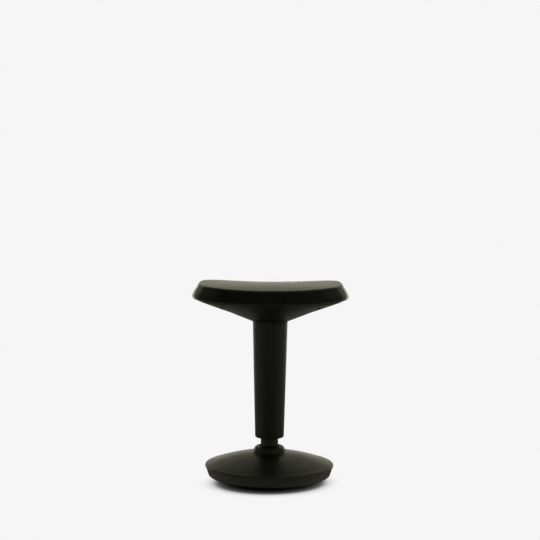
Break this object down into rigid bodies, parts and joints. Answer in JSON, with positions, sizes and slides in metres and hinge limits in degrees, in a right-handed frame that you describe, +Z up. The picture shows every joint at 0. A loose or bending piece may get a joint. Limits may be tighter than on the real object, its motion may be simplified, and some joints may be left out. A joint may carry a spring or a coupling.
{
  "type": "wobble stool",
  "caption": "Stool with a saddle-shaped moulded seat on a height-adjustable swivel column, standing on a weighted round base whose convex underside lets it rock.",
  "frame": {"origin": "on the floor under the column's axis, at the middle of the sole's flat", "axes": "+Z up along the column; -Y is the front, which the picture shows; +X is to the right there; the release paddle is at the rear, +Y"},
  "size_m": [0.443, 0.38, 0.5756],
  "materials": {
    "pad": "satin",
    "shell": "satin",
    "rubber": "matte",
    "plywood": "matte",
    "black_steel": "satin",
    "bright_steel": "satin",
    "zinc_steel": "satin",
    "cast_iron": "matte",
    "guide_plastic": "satin",
    "brass": "satin"
  },
  "bodies": {
    "base": {"rocker_sole": "rubber", "lower_shell": "shell", "ballast_weight": "cast_iron", "hub_socket": "black_steel", "hub_bolt_1": "zinc_steel", "hub_bolt_2": "zinc_steel", "hub_bolt_3": "zinc_steel", "hub_bolt_4": "zinc_steel", "base_screw_1": "zinc_steel", "base_screw_2": "zinc_steel", "base_screw_3": "zinc_steel", "base_screw_4": "zinc_steel", "dome_cover": "shell", "collar_ring": "shell", "outer_tube": "black_steel", "tube_guide_bush": "guide_plastic", "bearing_lower_race": "bright_steel", "bearing_ball_cage": "bright_steel"},
    "rod": {"piston_rod": "bright_steel", "bearing_upper_race": "bright_steel", "rubber_bumper": "rubber", "rod_washer": "zinc_steel", "rod_clip": "bright_steel", "piston": "brass"},
    "seat": {"pressure_cylinder": "black_steel", "rod_gland": "guide_plastic", "valve_body": "brass", "seat_pad": "pad", "seat_board": "plywood", "seat_plate": "black_steel", "plate_bolt_1": "zinc_steel", "plate_bolt_2": "zinc_steel", "plate_bolt_3": "zinc_steel", "plate_bolt_4": "zinc_steel", "tee_nut_1": "zinc_steel", "tee_nut_2": "zinc_steel", "tee_nut_3": "zinc_steel", "tee_nut_4": "zinc_steel", "underside_shell": "shell", "shell_screw_1": "zinc_steel", "shell_screw_2": "zinc_steel", "shell_screw_3": "zinc_steel", "shell_screw_4": "zinc_steel", "funnel_cover": "shell", "column_cover": "shell", "cover_screw_1": "zinc_steel", "cover_screw_2": "zinc_steel", "cover_screw_3": "zinc_steel", "cover_end_ring": "shell", "lever_pivot_pin": "zinc_steel"},
    "lever": {"release_lever": "zinc_steel", "lever_paddle": "shell"},
    "valve": {"valve_pin": "bright_steel"}
  },
  "joints": [
    {"name": "swivel", "type": "hinge", "parent": "base", "child": "rod", "pos_m": [0, 0, 0], "axis": [0, 0, 1], "continuous": true},
    {"name": "seat_height", "type": "slide", "parent": "rod", "child": "seat", "axis": [0, 0, 1], "range_m": [0, 0.25]},
    {"name": "height_release", "type": "hinge", "parent": "seat", "child": "lever", "pos_m": [0, 0.024, 0.5165], "axis": [1, 0, 0], "range_deg": [0, 4.5], "stiffness_Nm_per_rad": 2},
    {"name": "valve_press", "type": "slide", "parent": "seat", "child": "valve", "axis": [0, 0, -1], "range_m": [0, 0.0022]}
  ],
  "couplings": [
    {"joint": "valve_press", "follows": "height_release", "m_per_rad": 0.024}
  ]
}
